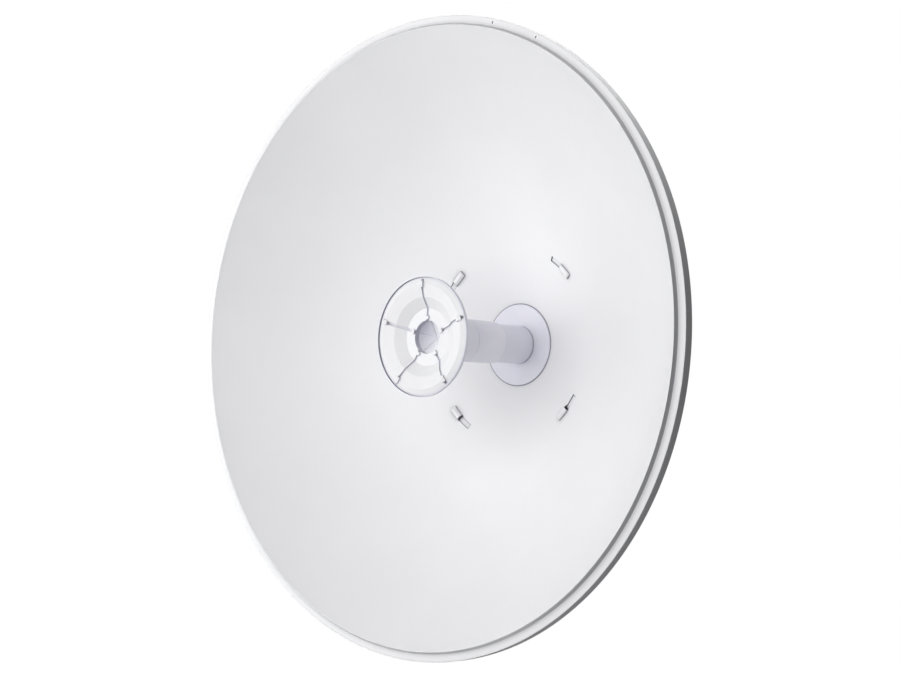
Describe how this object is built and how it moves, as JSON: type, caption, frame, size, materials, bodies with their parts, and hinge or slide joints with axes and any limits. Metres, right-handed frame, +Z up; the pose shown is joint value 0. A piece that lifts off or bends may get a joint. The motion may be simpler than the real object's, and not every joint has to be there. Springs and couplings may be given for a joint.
{
  "type": "outdoor wireless bridge",
  "caption": "Round parabolic dish antenna with a ribbed sub-reflector on a feed tube, a radio case behind it and a tilting pole clamp.",
  "frame": {"origin": "on the pole's axis, level with the dish's axis, midway up the clamp", "axes": "+Z up along the pole, the dish faces -Y, +X to the right seen from the front of the dish"},
  "size_m": [0.6476, 0.3715, 0.6476],
  "materials": {
    "reflector_coat": "white powder coat, satin",
    "feed_plastic": "light lavender-grey moulded plastic",
    "cover_plastic": "white moulded plastic, satin",
    "seal_rubber": "matt lavender-grey rubber",
    "feed_coat": "light lavender-grey coat, satin",
    "bare_aluminium": "turned, satin",
    "probe_brass": "plain",
    "dielectric": "milky plastic",
    "zinc_steel": "zinc plated",
    "bracket_coat": "light grey powder coat",
    "case_plastic": "white moulded plastic, fine texture",
    "board": "green solder mask",
    "can_metal": "tinned sheet",
    "jack_plastic": "black",
    "key_plastic": "grey",
    "light_pipe": "clear acrylic"
  },
  "bodies": {
    "mount": {"pole_bracket": "bracket_coat", "clamp_bolts": "zinc_steel"},
    "rear_clamp": {"rear_jaw": "bracket_coat", "clamp_washers": "zinc_steel", "clamp_spring_washers": "zinc_steel", "clamp_nuts": "zinc_steel"},
    "head": {"feed_flange": "feed_plastic", "flange_seal": "seal_rubber", "waveguide_tube": "feed_coat", "feed_probes": "probe_brass", "probe_bushes": "dielectric", "front_feed_sleeve": "feed_plastic", "rear_feed_sleeve": "feed_plastic", "dielectric_support": "dielectric", "waveguide_backshort": "bare_aluminium", "subreflector_cover": "cover_plastic", "subreflector_plate": "feed_coat", "feed_lock_nut": "key_plastic", "back_plate": "reflector_coat", "elevation_yoke": "bracket_coat", "yoke_bolts": "zinc_steel", "yoke_washers": "zinc_steel", "yoke_nuts": "zinc_steel", "pivot_bolts": "zinc_steel", "tilt_lock_bolts": "zinc_steel", "elevation_spacers": "dielectric", "elevation_washers": "zinc_steel", "elevation_spring_washers": "zinc_steel", "elevation_nuts": "zinc_steel", "radio_front_shell": "case_plastic", "radio_rear_shell": "case_plastic", "housing_gasket": "seal_rubber", "shell_screws": "zinc_steel", "radio_board": "board", "board_screws": "zinc_steel", "shield_cans": "can_metal", "ethernet_jack": "jack_plastic", "reset_switch": "jack_plastic", "light_pipes": "light_pipe", "pressure_vent": "key_plastic", "ground_screw": "zinc_steel", "ground_washer": "zinc_steel", "radio_side_screws": "zinc_steel"},
    "reflector": {"dish_reflector": "reflector_coat"},
    "port_door": {"port_cover": "case_plastic", "port_grommet": "seal_rubber"},
    "reset_key": {"reset_button": "key_plastic"}
  },
  "joints": [
    {"name": "elevation_tilt", "type": "hinge", "parent": "mount", "child": "head", "pos_m": [0, -0.064, 0], "axis": [-1, 0, 0], "range_deg": [-20, 20]},
    {"name": "clamp_slide", "type": "slide", "parent": "mount", "child": "rear_clamp", "axis": [0, 1, 0], "range_m": [-0.011, 0.025]},
    {"name": "reflector_twist", "type": "hinge", "parent": "head", "child": "reflector", "pos_m": [0, -0.13, 0], "axis": [0, -1, 0], "range_deg": [0, 7.7]},
    {"name": "port_cover_slide", "type": "slide", "parent": "head", "child": "port_door", "axis": [0, 0, -1], "range_m": [0, 0.03]},
    {"name": "reset_press", "type": "slide", "parent": "head", "child": "reset_key", "axis": [0, 0, 1], "range_m": [0, 0.001], "stiffness_N_per_m": 200, "springref_m": -0.001}
  ]
}
